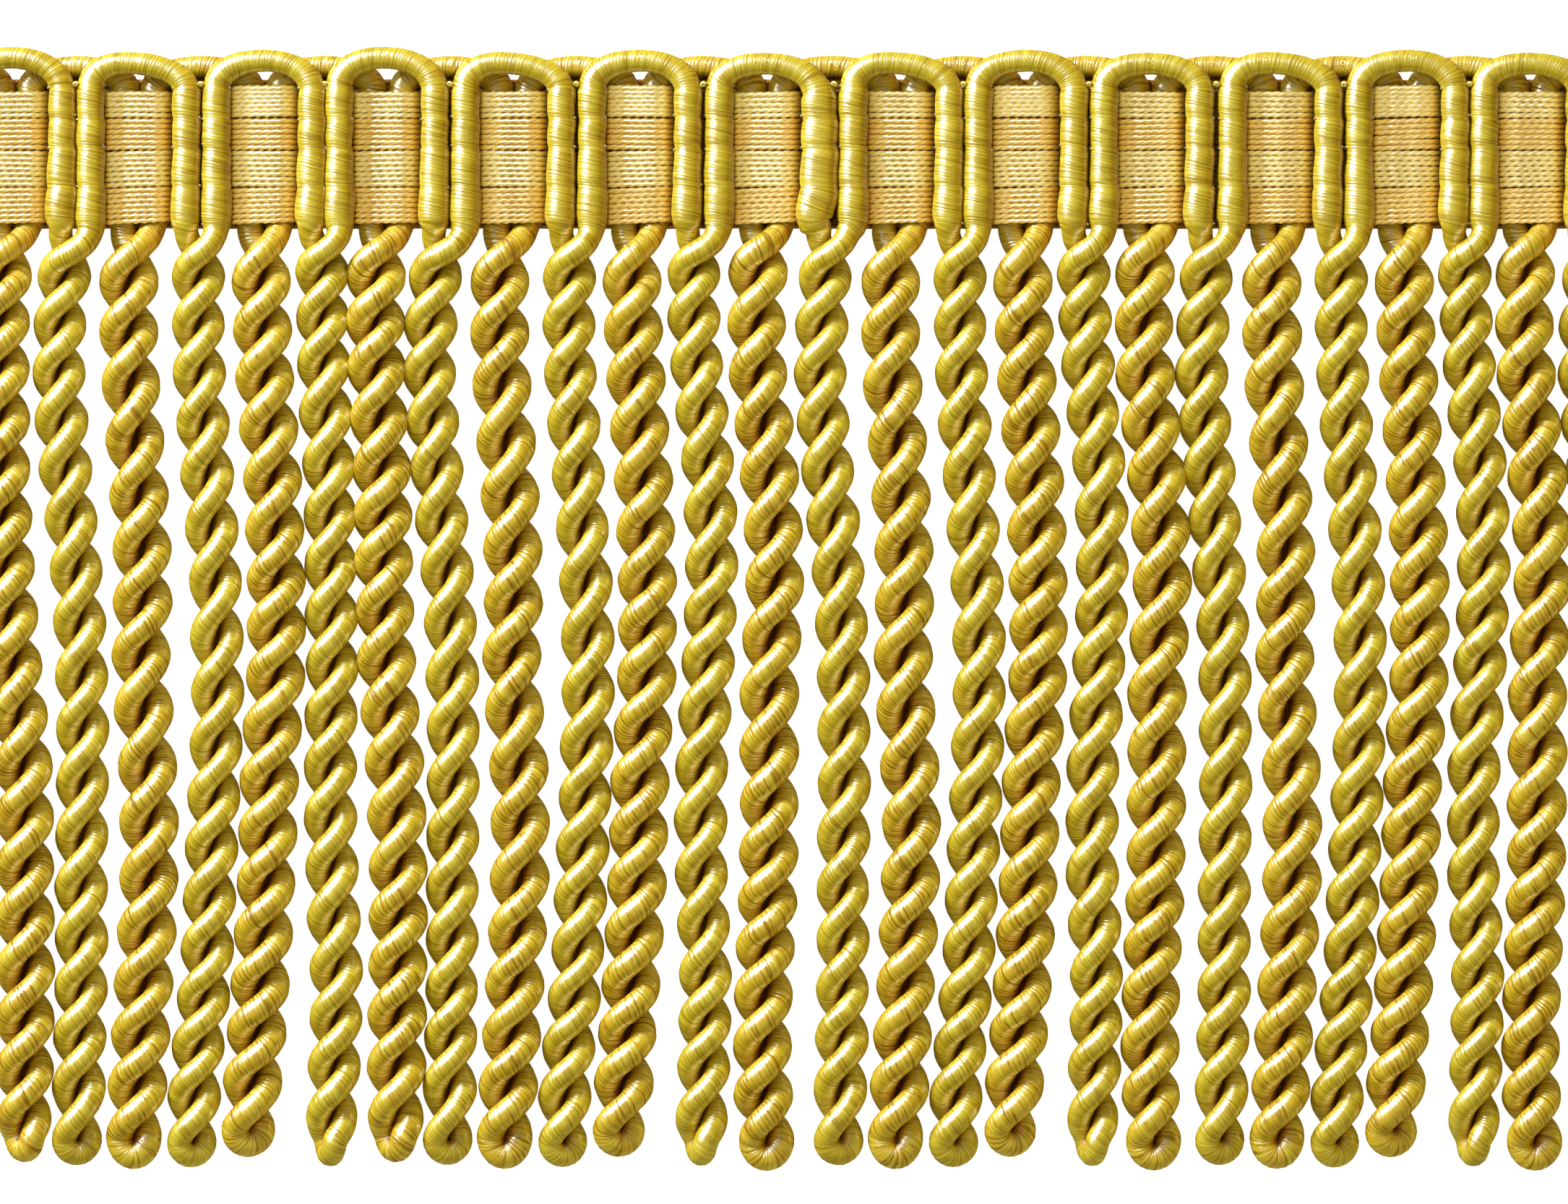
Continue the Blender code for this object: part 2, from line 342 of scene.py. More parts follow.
def threadMaterial(name, look):
    material, tree, shader = newMaterial(name, look)
    split = splitCoordinates(tree)
    cloud = addCloud(tree, split, look)
    shine = addPaintedShade(tree, shader, addRamp(tree, look["tones"], cloud), look)
    feed(tree, shine, shader, "Specular IOR Level")
    # Filaments that lie along the ply
    addBump(tree, shader, wave(tree, "SINE", scaled(tree, (split, 0), look["filaments"])), look)
    addRoughness(tree, shader, cloud, look)
    shader.inputs["Sheen Weight"].default_value = look["sheen"]
    shader.inputs["Sheen Tint"].default_value = look["sheenTint"]
    return material


# Scales are per mm, and laps, depths and glow are in mm
cordLook = {
    "noiseDetail": 3, "cloudRough": 0.6, "cloudAround": 0.35,
    "flossFade": 0.35, "flossRough": 0.62, "ends": 4, "endWander": 2.0,
    "bumpStrength": 0.8, "glintRise": 4,
    "roughness": 0.32, "index": 2.0, "specular": 0.9, "shineRun": 0.15,
    "glow": 0.1, "glowTint": (1.0, 0.62, 0.08), "glowReach": 0.5,
}
paleLook = {
    **cordLook,
    "tones": (
        (0.37, (0.37, 0.25, 0.001)),
        (0.45, (0.50, 0.37, 0.002)),
        (0.52, (0.61, 0.485, 0.005)),
        (0.62, (0.73, 0.62, 0.03)),
    ),
    # Painted shade colours, from none to the deepest shade
    "paintedShadeTones": (
        (0, (1, 1, 1)),
        (0.3, (1.0, 0.84, 0.2)),
        (0.6, (0.56, 0.36, 0.12)),
        (0.9, (0.15, 0.075, 0.035)),
    ),
    "cloudAlong": 0.8, "lap": 1.7, "flossReach": 0.95, "flossDrift": 0.45, "flossShare": 0.7,
    "ridge": 0.05, "bumpDepth": 0.12, "roughSpread": 0.08, "specularTint": (1, 0.97, 0.88, 1),
}
goldLook = {
    **cordLook,
    "tones": (
        (0.37, (0.32, 0.18, 0.001)),
        (0.44, (0.47, 0.31, 0.002)),
        (0.49, (0.68, 0.46, 0.002)),
        (0.54, (0.62, 0.46, 0.005)),
        (0.63, (0.74, 0.61, 0.03)),
    ),
    # Painted shade colours, from none to the deepest shade
    "paintedShadeTones": (
        (0, (1, 1, 1)),
        (0.3, (1.0, 0.80, 0.2)),
        (0.6, (0.56, 0.33, 0.12)),
        (0.9, (0.15, 0.065, 0.035)),
    ),
    "cloudAlong": 1.1, "lap": 2.0, "flossReach": 0.85, "flossDrift": 0.5, "flossShare": 0.75,
    "ridge": 0.07, "bumpDepth": 0.16, "roughSpread": 0.10, "specularTint": (1, 0.96, 0.84, 1),
}
threadLook = {
    "noiseDetail": 3, "cloudRough": 0.6, "cloudAround": 0.4, "cloudAlong": 0.5,
    "filaments": 10, "bumpStrength": 0.3, "bumpDepth": 0.02,
    "roughness": 0.30, "roughSpread": 0.2, "index": 1.65, "specular": 1.0, "sheen": 0.05,
    "glow": 0.08, "glowTint": (1.0, 0.7, 0.3), "glowReach": 0.3,
}
creamLook = {
    **threadLook,
    "tones": ((0.35, (0.52, 0.41, 0.14)), (0.5, (0.64, 0.54, 0.235)), (0.65, (0.74, 0.66, 0.34))),
    # Painted shade colours, from none to the deepest shade
    "paintedShadeTones": (
        (0, (1, 1, 1)),
        (0.3, (0.9, 0.76, 0.3)),
        (0.6, (0.6, 0.42, 0.08)),
        (1, (0.09, 0.05, 0.01)),
    ),
    "sheenTint": (1, 0.95, 0.8, 1),
}
tanLook = {
    **threadLook,
    "tones": ((0.35, (0.52, 0.36, 0.085)), (0.5, (0.62, 0.47, 0.15)), (0.65, (0.72, 0.59, 0.25))),
    # Painted shade colours, from none to the deepest shade
    "paintedShadeTones": (
        (0, (1, 1, 1)),
        (0.3, (0.9, 0.72, 0.25)),
        (0.6, (0.6, 0.38, 0.06)),
        (1, (0.09, 0.045, 0.01)),
    ),
    "sheenTint": (1, 0.9, 0.7, 1),
}
paleCord = cordMaterial("paleCord", paleLook)
goldCord = cordMaterial("goldCord", goldLook)
creamThread = threadMaterial("creamThread", creamLook)
tanThread = threadMaterial("tanThread", tanLook)
print("materials ready")


# TUBES ALONG A LINE
sharpAngle = 70                  # degrees, past which an edge is shaded sharp
upAxis = (0, 0, 1)


def smoothLine(line, reach, step):
    # Evens out corners over a reach in mm; the line's points are a step apart
    half = int(3 * reach / step)
    weights = np.exp(-0.5 * (np.arange(-half, half + 1) * step / reach) ** 2)
    weights /= weights.sum()
    before = 2 * line[0] - line[half:0:-1]
    after = 2 * line[-1] - line[-2:-half - 2:-1]
    padded = np.concatenate([before, line, after])
    columns = [np.convolve(padded[:, axis], weights, "valid") for axis in range(line.shape[1])]
    return np.stack(columns, axis=1)


def smoothValues(values, reach, step):
    return smoothLine(values[:, None], reach, step)[:, 0]


def evenLine(line, step):
    # The same line with its points an equal step apart along it; columns after the third are carried along
    lengths = np.concatenate([[0], np.cumsum(np.linalg.norm(np.diff(line[:, :3], axis=0), axis=1))])
    count = max(2, int(round(lengths[-1] / step)) + 1)
    marks = np.linspace(0, lengths[-1], count)
    columns = [np.interp(marks, lengths, line[:, axis]) for axis in range(line.shape[1])]
    return np.stack(columns, axis=1), marks


def easeIn(value, low, high):
    # 0 up to low and 1 from high on
    share = np.clip((value - low) / (high - low), 0, 1)
    return share * share * (3 - 2 * share)


def easeOut(value, low, high):
    # 1 up to low and 0 from high on
    return easeIn(-value, -high, -low)


def tubeFrames(points, firstSide):
    # Sideways and upward directions that turn as little as they can along the line
    along = np.gradient(points, axis=0)
    along /= np.linalg.norm(along, axis=1)[:, None]
    side = np.zeros_like(points)
    current = np.array(firstSide, float)
    for index, direction in enumerate(along):
        current = current - direction * current.dot(direction)
        current /= np.linalg.norm(current)
        side[index] = current
    return side, np.cross(along, side)


def ringAngles(sides):
    return np.arange(sides) * 2 * math.pi / sides


def outwardOf(points, firstSide, sides):
    # Which way each corner of each ring faces
    side, up = tubeFrames(points, firstSide)
    angles = ringAngles(sides)
    return (np.cos(angles)[None, :, None] * side[:, None, :]
            + np.sin(angles)[None, :, None] * up[:, None, :])


def tubeMesh(points, radii, marks, sides, firstSide, ripple=None, paintedShade=None):
    # Corner points, faces, face-corner UVs and painted shade of a closed tube; radii are mm, one for each
    # point
    count = len(points)
    reach = np.repeat(radii[:, None], sides, axis=1)
    if ripple is not None:
        reach = reach * ripple
    corners = (points[:, None, :] + reach[:, :, None] * outwardOf(points, firstSide, sides)).reshape(-1, 3)
    rows = np.arange(count - 1)[:, None] * sides
    here = np.arange(sides)[None, :]
    following = (here + 1) % sides
    quads = np.stack([rows + here, rows + following, rows + sides + following, rows + sides + here], axis=2)
    faces = [tuple(face) for face in quads.reshape(-1, 4).tolist()]
    last = (count - 1) * sides
    faces.append(tuple(range(sides - 1, -1, -1)))
    faces.append(tuple(range(last, last + sides)))
    around = np.repeat(np.arange(sides)[None, :] / sides, count - 1, axis=0)
    ahead = around + 1 / sides
    low = np.repeat(marks[:-1, None], sides, axis=1)
    high = np.repeat(marks[1:, None], sides, axis=1)
    uvs = np.stack([around, low, ahead, low, ahead, high, around, high], axis=2).reshape(-1, 2)
    caps = [(index / sides, marks[0]) for index in range(sides - 1, -1, -1)]
    caps += [(index / sides, marks[-1]) for index in range(sides)]
    if paintedShade is None:
        paintedShade = np.zeros((count, sides))
    return corners, faces, np.concatenate([uvs, np.array(caps)]), paintedShade.ravel()


def plainTube(line, radius, marks, sides, firstSide=upAxis, paintedShade=0.0):
    # A tube of one radius and one painted shade
    radii = np.full(len(line), radius)
    return tubeMesh(line, radii, marks, sides, firstSide, None, np.full((len(line), sides), paintedShade))


def addPiece(name, parts, material, nodes):
    # One object from one or more tubes
    corners = []
    faces = []
    uvs = []
    paintedShades = []
    start = 0
    for points, tubeFaces, tubeUvs, tubePaintedShade in parts:
        corners.append(points)
        paintedShades.append(tubePaintedShade)
        faces += [tuple(index + start for index in face) for face in tubeFaces]
        uvs.append(tubeUvs)
        start += len(points)
    mesh = bpy.data.meshes.new(name)
    mesh.from_pydata((np.concatenate(corners) * mm).tolist(), [], faces)
    layer = mesh.uv_layers.new(name="UVMap")
    layer.data.foreach_set("uv", np.concatenate(uvs).astype(np.float32).ravel())
    # Each corner's painted shade, by which the materials darken its colour
    paintedShadeLayer = mesh.attributes.new(name="paintedShade", type="FLOAT", domain="POINT")
    paintedShadeLayer.data.foreach_set("value", np.concatenate(paintedShades).astype(np.float32))
    mesh.materials.append(material)
    mesh.shade_smooth()
    mesh.set_sharp_from_angle(angle=math.radians(sharpAngle))
    piece = bpy.data.objects.new(name, mesh)
    bpy.context.scene.collection.objects.link(piece)
    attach(piece, "root")
    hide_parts(*nodes)
    return piece


# CORDS
# How each kind of strand lies and twists, at the same drops for all. "path" is its middle in mm from its
# place in an even row, "turns" counts the half turns from its first crossing, and "end" is its loop.
layDrops = (29.4, 42.9, 56.4, 69.9, 83.3, 96.8, 110.3, 123.8, 137.3)
lays = {
    "a": {"path": (-1.9, -2.0, -1.9, -1.3, -0.2, 1.2, 1.3, 1.4, 1.2), "end": 1.3, "tip": 148.9,
          "turns": (-0.2, 2.0, 4.0, 6.1, 8.1, 10.1, 12.1, 14.1, 16.1),
          "loopTurns": 17.3, "loopReach": 1.85, "loopTall": 1.1},
    "b": {"path": (-2.0, -2.8, -1.7, -0.2, 0.5, 0.6, 0.4, 0.4, 0.1), "end": -0.2, "tip": 149.3,
          "turns": (-0.2, 1.9, 4.0, 6.0, 7.9, 9.8, 11.7, 13.7, 15.8),
          "loopTurns": 16.9, "loopReach": 1.9, "loopTall": 1.0},
    "c": {"path": (-1.8, -1.6, -0.5, 0.3, -0.1, 1.0, 1.1, 0.4, -0.4), "end": -1.0, "tip": 149.8,
          "turns": (-0.3, 1.7, 3.5, 5.4, 7.3, 9.1, 10.9, 12.8, 14.8),
          "loopTurns": 16.0, "loopReach": 2.0, "loopTall": 1.35},
    "d": {"path": (-0.9, -0.8, 0.3, 1.4, 1.8, 1.4, 0.8, 0.2, -1.3), "end": -1.7, "tip": 149.6,
          "turns": (-0.2, 1.9, 3.9, 5.8, 7.6, 9.5, 11.5, 13.5, 15.6),
          "loopTurns": 16.9, "loopReach": 1.9, "loopTall": 1.0},
    "e": {"path": (-1.0, -0.5, 0.6, 1.2, 1.2, 0.2, -0.1, -0.9, -1.9), "end": -2.6, "tip": 148.2,
          "turns": (-0.3, 1.8, 3.8, 5.8, 7.9, 9.8, 11.8, 13.8, 15.9),
          "loopTurns": 16.9, "loopReach": 2.0, "loopTall": 0.95},
    "f": {"path": (-1.4, -0.7, 1.0, 1.4, 0.8, -0.1, -0.1, 0.6, 0.2), "end": -0.1, "tip": 149.5,
          "turns": (-0.1, 2.1, 4.2, 6.1, 8.2, 10.1, 12.0, 14.0, 16.2),
          "loopTurns": 17.4, "loopReach": 1.75, "loopTall": 1.2},
    "g": {"path": (-1.3, -1.0, -0.2, 0.0, 0.2, -0.2, 0.1, 0.8, 0.4), "end": -0.1, "tip": 149.5,
          "turns": (-0.1, 2.1, 4.1, 6.1, 8.1, 10.1, 12.1, 14.1, 16.2),
          "loopTurns": 17.4, "loopReach": 1.75, "loopTall": 1.2},
    "h": {"path": (-1.5, -1.3, -0.5, -0.3, 0.1, 1.3, 1.7, 1.6, 1.4), "end": 1.3, "tip": 148.9,
          "turns": (-0.2, 2.0, 4.0, 6.2, 8.2, 10.2, 12.1, 14.2, 16.2),
          "loopTurns": 17.3, "loopReach": 1.85, "loopTall": 1.1},
    "i": {"path": (-2.2, -2.2, -0.5, 0.4, -0.5, -0.5, -0.6, -1.2, -1.5), "end": -0.9, "tip": 150.0,
          "turns": (-0.1, 1.9, 3.9, 5.8, 7.6, 9.4, 11.4, 13.6, 15.6),
          "loopTurns": 17.0, "loopReach": 2.05, "loopTall": 1.2},
}
# Runs of strands from the left, and how far each run is moved along
layRuns = (("g", -1.0), ("abcdeg", 0), ("hbcdef", -1.1), ("i", 0), ("bcdef", 0.5), ("i", 1.1),
           ("bcdef", 0.8), ("i", 1.3), ("b", 1.3))
strandRows = [(lays[letter], shift) for letters, shift in layRuns for letter in letters]

cords = {
    "step": 0.5,                 # between the rings of the mesh
    "sides": 14,
    "fineStep": 0.1,             # of the line before it is evened out
    "corner": 0.55,              # over which corners are evened out
    "pathReach": 3.0,            # over which a strand's path is evened out, and its twist
    "turnReach": 1.5,
    "crownDrop": 1.45,           # of the highest arch's middle
    "crownLap": 0.4,             # how far each half arch goes on into the other
    "crownTaper": 0.7,           # power by which the cord widens from the crown to the leg
    "archSteps": 60,
    "settleDrop": 31.0,          # where the strand has reached its own level
    "untwisted": (-2, 1),        # around the legs' ends, where the plies haven't crossed yet
    "flatten": 0.93,             # a strand lying down is a little lower than wide
    "restHeight": 1.06,          # the lowest that a ply's middle lies, of its radius
    "lag": 0.05,                 # a ply dwells at the strand's edges and crosses quickly
    "loopRun": 6,                # over which the plies take the loop's width
    "loopSteps": 40,
    "keelWidth": 0.55,           # radians each side, where a ply is pressed against the other
    "front": {"level": 4.8, "crown": 1.48, "leg": 1.90, "legFlat": 0.93, "ply": 1.62,
              "twistReach": 2.0, "spring": 5.7, "legEnd": 24.0, "roundness": {"left": 2.3, "right": 2.0}},
    "back": {"level": 1.90, "crown": 1.40, "leg": 2.0, "legFlat": 0.82, "ply": 1.72, "sink": 0.95,
             "twistReach": 2.3, "spring": 5.0, "legEnd": 22.6, "roundness": {"left": 1.7, "right": 1.7}},
    "legWiden": 0.18,            # how much wider a leg is at the bottom
    "widenDrops": (14.0, 22.0),
    "legLean": 0.15,             # how far a front strand's left leg leans out at the bottom
    "leanDrops": (12.0, 23.0),
    "endCutDrop": 19.5,          # where the outermost legs are cut off
    "eyeShadeRadius": 0.4,           # a dark tube along the strand's middle, painted in full shade, which fills the eyes between the plies with shade
    "eyeShadeStride": 5,
    "eyeShadeFrom": 0.3,             # it starts where the cord is this far a ply
    "eyeShadeSides": 6,
    "grainShift": 37.0,          # mm between the floss patterns of neighbours
}
# The binding thread's grip on the front legs
grip = {
    "drops": (5.2, 9.4, 13.4, 18.5, 23.4),
    "pinch": 0.09,               # how far it draws a leg in
    "pinchWidth": 0.45,
    "bulge": 0.05,               # of a leg between two bindings
    "bulgeChance": (0.3, 1.4),
    "bulgeSkew": 0.7,
    "drift": 0.20,               # how far the leg leans over sideways there
    "driftFall": (0.9, 2.0),
    "belowLeg": 2,               # how far below the leg's end it still counts
}
# Unevenness of a cord's width, as shares of it
swell = {
    "every": 6,                  # rings
    "slow": 0.022,
    "quick": 0.006,
    "fade": (0.5, 5.0),          # mm from the cord's ends
}
# The cord's joint makes one front strand's left leg wider
wideLeg = {
    "number": 14,
    "moved": 0.6,
    "wider": 0.32,
    "topDrops": (4.0, 8.0),
    "lineEnd": (19.0, 23.0),
    "skinEnd": (21.0, 26.0),
    "reach": 0.8,
}
# Where shade is painted into a cord's colour: towards the strand's middle, towards the ground, and on the
# side away from the light
shade = {
    "inward": (0.34, 1.03),
    "under": (-0.12, 0.7),
    "underDepth": 0.85,
    "lee": (0.1, 0.9),
    "leeDepth": 0.5,
}
archLean = (0.48, 0.37, 0.53)    # where the crown of each third arch stands between its legs
chance = np.random.default_rng(11)


def archSide(legPlace, crownPlace, crownDrop, springDrop, roundness):
    # A quarter of an arch, from the crown to the top of a leg
    angle = np.linspace(0, math.pi / 2, cords["archSteps"])
    along = crownPlace + (legPlace - crownPlace) * np.sin(angle) ** (2 / roundness)
    drop = springDrop - (springDrop - crownDrop) * np.cos(angle) ** (2 / roundness)
    return along, drop


def legAndArch(number, kind, leg, span, arch):
    # A leg from its foot up, and half an arch from the leg to the crown.
    # Columns: along, drop, level and radius.
    look = cords[kind]
    toRight = span > 0
    drops = np.arange(look["legEnd"], look["spring"], -cords["fineStep"])
    places = np.full(len(drops), leg)
    if kind == "front" and not toRight:
        places -= cords["legLean"] * easeIn(drops, *cords["leanDrops"])
    if number == wideLeg["number"] and not toRight:
        places += wideLeg["moved"] * easeIn(drops, *wideLeg["topDrops"]) * easeOut(drops, *wideLeg["lineEnd"])
    widths = look["leg"] + cords["legWiden"] * easeIn(drops, *cords["widenDrops"])
    legPart = np.stack([places, drops, np.full(len(drops), look["level"]), widths], axis=1)
    if kind == "front":
        lean = archLean[insideWindow(arch) % 3]
        sink = trim["archSink"][insideWindow(arch)]
    else:
        lean = 0.5
        sink = look["sink"]
    crown = leg + span * (lean if toRight else 1 - lean)
    crownDrop = cords["crownDrop"] + sink
    roundness = look["roundness"]["left" if toRight else "right"]
    along, drop = archSide(leg, crown, crownDrop, look["spring"], roundness)
    share = (drop - crownDrop) / (look["spring"] - crownDrop)
    radii = look["crown"] + (look["leg"] - look["crown"]) * share ** cords["crownTaper"]
    archPart = np.stack([along, drop, np.full(len(along), look["level"]), radii], axis=1)
    # Each half arch goes on a little past the crown, into the other half
    past = archPart[:1].copy()
    past[0, 0] += math.copysign(cords["crownLap"], span)
    return legPart, np.concatenate([past, archPart])[::-1]


def twistLines(look, lay, place, middle, inset):
    # The two plies from the legs' ends down, and the loop that joins them. Columns as in letDownLine.
    step = cords["fineStep"]
    loopReach = lay["loopReach"]
    loopDrop = lay["tip"] - look["ply"] - loopReach * lay["loopTall"]
    stations = [look["legEnd"], *layDrops, loopDrop]
    paths = [middle, *(place + offset for offset in lay["path"]), place + lay["end"]]
    turnStations = [*(look["legEnd"] + offset for offset in cords["untwisted"]), *layDrops, loopDrop]
    turnCounts = [-1, -1, *lay["turns"], lay["loopTurns"]]
    drops = np.arange(look["legEnd"], loopDrop, step)
    line = smoothValues(np.interp(drops, stations, paths), cords["pathReach"], step)
    angle = smoothValues(np.interp(drops, turnStations, turnCounts), cords["turnReach"], step)
    angle = (angle + 1) * math.pi
    angle = angle - 0.5 * cords["lag"] * np.sin(2 * angle)
    blend = easeIn(drops, look["legEnd"], cords["settleDrop"])
    nearLoop = np.clip((drops - loopDrop + cords["loopRun"]) / cords["loopRun"], 0, 1)
    reach = inset + (look["twistReach"] - inset) * np.clip(blend * 2, 0, 1)
    reach = reach + (loopReach - look["twistReach"]) * nearLoop
    strandLevel = (look["twistReach"] + look["ply"]) * cords["flatten"]
    level = look["level"] + (strandLevel - look["level"]) * blend
    slope = np.gradient(line, drops)
    tilt = 1 / np.sqrt(1 + slope ** 2)
    plies = []
    for side in (1, -1):
        across = side * reach * np.cos(angle)
        deep = side * reach * np.sin(angle) * cords["flatten"]
        along = line + across * tilt
        down = drops - across * slope * tilt
        heights = np.maximum(level + deep, look["ply"] * cords["restHeight"])
        plies.append(np.stack([
            along, down, heights, np.full(len(drops), look["ply"]),
            (line - along) / reach, (drops - down) / reach, (level - heights) / reach, blend,
        ], axis=1))
    # The loop goes round from the first ply to the second
    turn = np.linspace(0, math.pi, cords["loopSteps"])[1:-1]
    acrossLoop = np.cos(turn) * math.cos(angle[-1])
    upLoop = np.cos(turn) * math.sin(angle[-1])
    loop = np.stack([
        line[-1] + loopReach * acrossLoop,
        drops[-1] + loopReach * lay["loopTall"] * np.sin(turn),
        strandLevel + loopReach * upLoop * cords["flatten"],
        np.full(len(turn), look["ply"]),
        -acrossLoop,
        -np.sin(turn),
        -upLoop,
        np.ones(len(turn)),
    ], axis=1)
    return plies[0], loop, plies[1]


def letDownLine(number, kind):
    # The line of one let-down: half an arch, a leg, one ply down, the loop, the other ply up, a leg and half
    # an arch. Columns: along, drop, level and radius in mm, then which way the strand's middle is (along,
    # drop and level), and how far the cord is a ply of the strand, from 0 to 1.
    look = cords[kind]
    lay, shift = strandRows[number]
    place = (number - trim["archCount"]) * trim["archPitch"] / 2 + shift
    inset = (trim["archPitch"] - trim["legSpread"]) / 2
    window = number // 2
    if kind == "front":
        leftLeg = windowMiddle(window - 1) + trim["legSpread"] / 2
        rightLeg = windowMiddle(window) - trim["legSpread"] / 2
        leftSpan, rightSpan = -trim["legSpread"], trim["legSpread"]
    else:
        leftLeg = windowMiddle(window) - inset
        rightLeg = windowMiddle(window) + inset
        leftSpan = windowMiddle(window - 1) + inset - leftLeg
        rightSpan = windowMiddle(window + 1) - inset - rightLeg
    firstPly, loop, secondPly = twistLines(look, lay, place, (leftLeg + rightLeg) / 2, inset)
    rightLegPart, rightArch = legAndArch(number, kind, rightLeg, rightSpan, window)
    leftLegPart, leftArch = legAndArch(number, kind, leftLeg, leftSpan, window - 1)
    if number == 0:
        leftLegPart = leftLegPart[leftLegPart[:, 1] > cords["endCutDrop"]]
        leftArch = leftArch[:0]
    if number == 2 * trim["archCount"]:
        rightLegPart = rightLegPart[rightLegPart[:, 1] > cords["endCutDrop"]]
        rightArch = rightArch[:0]
    left = np.concatenate([leftArch[::-1], leftLegPart[::-1]])
    right = np.concatenate([rightLegPart, rightArch])
    # The columns that only the plies use
    left, right = (np.pad(part, ((0, 0), (0, 4))) for part in (left, right))
    return np.concatenate([left, secondPly, loop[::-1], firstPly[::-1], right])


def gripLegs(drops, points, radii, onLeg):
    # The binding thread draws the legs in, and they bulge between its turns
    for binding in grip["drops"]:
        waist = np.exp(-((drops - binding) / grip["pinchWidth"]) ** 2)
        radii -= np.where(onLeg, grip["pinch"] * waist, 0)
    for high, low in zip(grip["drops"], grip["drops"][1:]):
        share = np.clip((drops - high) / (low - high), 0, 1)
        size = chance.uniform(*grip["bulgeChance"])
        hump = np.where(onLeg, np.sin(math.pi * share ** grip["bulgeSkew"]) * size, 0)
        radii += grip["bulge"] * hump
        points[:, 0] += grip["drift"] * hump * (grip["driftFall"][0] - grip["driftFall"][1] * share)


def swellOf(marks):
    count = len(marks)
    knots = np.arange(0, count + swell["every"], swell["every"])
    slow = np.interp(np.arange(count), knots, chance.normal(0, swell["slow"], len(knots)))
    quick = chance.normal(0, swell["quick"], count)
    fromEnd = np.minimum(marks, marks[-1] - marks)
    return 1 + (slow + quick) * easeIn(fromEnd, *swell["fade"])


def makeLetDown(number):
    kind = "back" if number % 2 else "front"
    look = cords[kind]
    sides = cords["sides"]
    line, _ = evenLine(letDownLine(number, kind), cords["fineStep"])
    line, marks = evenLine(smoothLine(line, cords["corner"], cords["fineStep"]), cords["step"])
    drops = line[:, 1]
    asPly = line[:, 7]
    points = np.stack([trimMiddle + line[:, 0], trimTop - drops, line[:, 2]], axis=1)
    radii = line[:, 3].copy()
    if kind == "front":
        gripLegs(drops, points, radii, drops < look["legEnd"] + grip["belowLeg"])
    radii *= swellOf(marks)
    # Where the plies press on each other they reach as far as the strand's middle
    side, up = tubeFrames(points, upAxis)
    outward = outwardOf(points, upAxis, sides)
    inward = line[:, 4:7] * (1, -1, 1)
    toward = np.arctan2((inward * up).sum(axis=1), (inward * side).sum(axis=1))
    away = np.abs((ringAngles(sides)[None, :] - toward[:, None] + math.pi) % (2 * math.pi) - math.pi)
    keel = (look["twistReach"] / look["ply"] - 1) * asPly
    ripple = 1 + keel[:, None] * np.exp(-(away / cords["keelWidth"]) ** 2)
    # Legs and arches are pressed a little flat
    upright = outward[:, :, 2]
    flat = (1 - look["legFlat"]) * (1 - asPly)
    ripple = ripple * (1 - flat[:, None] * upright ** 2)
    if number == wideLeg["number"]:
        wide = wideLeg["wider"] * (points[:, 0] < points[:, 0].mean()) * (1 - asPly)
        wide *= easeIn(drops, *wideLeg["topDrops"]) * easeOut(drops, *wideLeg["skinEnd"])
        wide = smoothValues(wide, wideLeg["reach"], cords["step"])
        ripple = ripple * (1 + wide[:, None] * (1 - upright ** 2))
    # Painted shade: darker where a ply faces the strand's middle, on the underside, and on the right side of
    # legs and arches, away from the light
    facing = (outward * inward[:, None, :]).sum(axis=2) * asPly[:, None]
    lee = easeIn(outward[:, :, 0], *shade["lee"]) * (1 - asPly)[:, None]
    under = easeIn(-upright, *shade["under"])
    paintedShade = np.maximum(easeIn(facing, *shade["inward"]), shade["underDepth"] * under)
    paintedShade = np.maximum(paintedShade, shade["leeDepth"] * lee)
    skin = tubeMesh(points, radii, marks + cords["grainShift"] * number, sides, upAxis, ripple, paintedShade)
    # A dark tube along the strand's middle, between its plies, painted in full shade so that the eyes show
    # shade
    axis = (points + inward * look["twistReach"])[asPly > cords["eyeShadeFrom"]]
    half = len(axis) // 2
    eyeShadeLine = ((axis[:half] + axis[::-1][:half]) / 2)[::cords["eyeShadeStride"]]
    eyeShadeMarks = eyeShadeLine[0, 1] - eyeShadeLine[:, 1]
    eyeShadeTube = plainTube(eyeShadeLine, cords["eyeShadeRadius"], eyeShadeMarks, cords["eyeShadeSides"], (1, 0, 0), 1.0)
    material = paleCord if kind == "front" else goldCord
    return addPiece(f"{kind}_cord_{number:02d}", [skin, eyeShadeTube], material, [f"{kind}_cord"])


cordPieces = [makeLetDown(number) for number in range(2 * trim["archCount"] + 1)]
print("cords made:", len(cordPieces))


